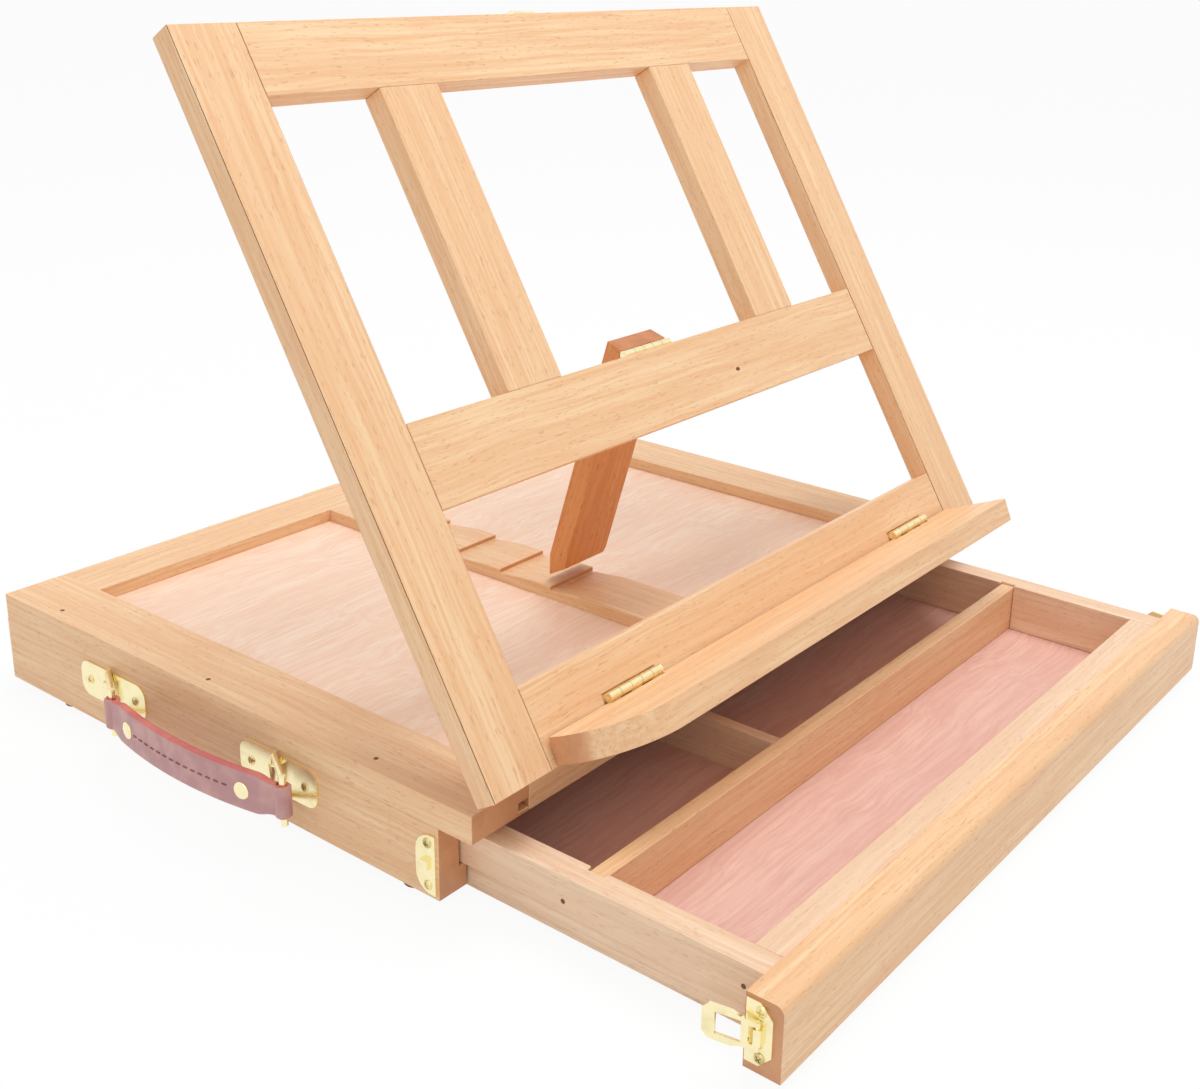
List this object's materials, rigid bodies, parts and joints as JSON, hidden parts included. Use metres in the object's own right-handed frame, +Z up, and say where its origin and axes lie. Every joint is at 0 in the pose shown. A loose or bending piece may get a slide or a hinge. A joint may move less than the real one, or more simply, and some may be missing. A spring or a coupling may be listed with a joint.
{
  "type": "sketch box easel",
  "caption": "Table-top beech sketch box with a tilting picture frame, hinged ledge, notched prop leg, sliding divided drawer, brass latches and leather handle.",
  "frame": {"origin": "middle of the part's footprint, on the surface that the feet stand on", "axes": "+X to the user's right, +Y to the back of the box, +Z up"},
  "size_m": [0.364, 0.3914, 0.2805],
  "materials": {
    "beech": "clear satin varnish on pale beech",
    "plywood": "pale plywood, satin",
    "drawer_plywood": "pinkish plywood, matt",
    "stained_wood": "reddish brown stain",
    "brass": "bright brass plate",
    "leather": "smooth plum-brown leather with a red edge"
  },
  "bodies": {
    "box": {"rim_left_rail": "beech", "rim_right_rail": "beech", "rim_back_rail": "beech", "rim_front_rail": "beech", "top_panel": "plywood", "notched_strip": "beech", "box_left_side": "beech", "box_right_side": "beech", "box_back": "beech", "feet": "stained_wood", "frame_hinge_lower_leaves": "brass", "frame_hinge_pins": "brass", "handle_plates": "brass", "box_screws": "brass", "latch_strikes": "brass"},
    "easel_frame": {"stile_left": "beech", "stile_right": "beech", "bottom_rail": "beech", "middle_rail": "beech", "top_rail": "beech", "slat_left": "beech", "slat_right": "beech", "frame_hinge_upper_leaves": "brass", "ledge_hinge_fixed_leaves": "brass", "ledge_hinge_pins": "brass", "prop_hinge_fixed_leaf": "brass", "prop_hinge_pin": "brass", "catch_base": "brass", "catch_screws": "brass"},
    "ledge": {"ledge_board": "beech", "ledge_hinge_moving_leaves": "brass"},
    "prop": {"prop_leg": "beech", "prop_hinge_moving_leaf": "brass"},
    "drawer": {"drawer_left_side": "beech", "drawer_right_side": "beech", "drawer_floor": "drawer_plywood", "drawer_inner_front": "beech", "drawer_back": "beech", "drawer_long_partition": "beech", "drawer_short_divider": "beech", "drawer_front_bar": "beech", "latch_bases": "brass", "latch_screws": "brass"},
    "latch_left": {"latch_hook_left": "brass"},
    "latch_right": {"latch_hook_right": "brass"},
    "catch": {"catch_hook": "brass"},
    "ring_back": {"handle_ring_back": "brass"},
    "ring_front": {"handle_ring_front": "brass"},
    "strap": {"handle_strap": "leather", "handle_rivets": "brass"}
  },
  "joints": [
    {"name": "frame_fold", "type": "hinge", "parent": "box", "child": "easel_frame", "pos_m": [0.0068, -0.07755, 0.0434], "axis": [1, 0, 0], "range_deg": [-58.6, 0]},
    {"name": "prop_swing", "type": "hinge", "parent": "easel_frame", "child": "prop", "pos_m": [0.0068, -0.01107, 0.15231], "axis": [1, 0, 0], "range_deg": [0, 131.8]},
    {"name": "ledge_fold", "type": "hinge", "parent": "easel_frame", "child": "ledge", "pos_m": [0.0068, -0.08082, 0.06156], "axis": [-1, 0, 0], "range_deg": [0, 98]},
    {"name": "drawer_slide", "type": "slide", "parent": "box", "child": "drawer", "axis": [0, 1, 0], "range_m": [-0.04, 0.1221]},
    {"name": "latch_left_swing", "type": "hinge", "parent": "drawer", "child": "latch_left", "pos_m": [-0.16495, -0.18835, 0.0174], "axis": [0, 0, 1], "range_deg": [-10, 100]},
    {"name": "latch_right_swing", "type": "hinge", "parent": "drawer", "child": "latch_right", "pos_m": [0.17855, -0.18835, 0.0174], "axis": [0, 0, -1], "range_deg": [-10, 100]},
    {"name": "catch_swing", "type": "hinge", "parent": "easel_frame", "child": "catch", "pos_m": [0.0068, 0.05959, 0.27901], "axis": [1, 0, 0], "range_deg": [-10, 100]},
    {"name": "ring_back_swing", "type": "hinge", "parent": "box", "child": "ring_back", "pos_m": [-0.16535, 0.11875, 0.023], "axis": [0, 0, -1], "range_deg": [-12, 110]},
    {"name": "ring_front_swing", "type": "hinge", "parent": "box", "child": "ring_front", "pos_m": [-0.16535, 0.01925, 0.023], "axis": [0, 0, -1], "range_deg": [-12, 110]},
    {"name": "strap_swing", "type": "hinge", "parent": "ring_back", "child": "strap", "pos_m": [-0.17435, 0.10316, 0.023], "axis": [0, 0, -1], "range_deg": [-110, 12]}
  ],
  "couplings": [
    {"joint": "prop_swing", "follows": "frame_fold", "ratio": -2.2492},
    {"joint": "ring_front_swing", "follows": "ring_back_swing", "ratio": 1},
    {"joint": "strap_swing", "follows": "ring_back_swing", "ratio": -1}
  ]
}
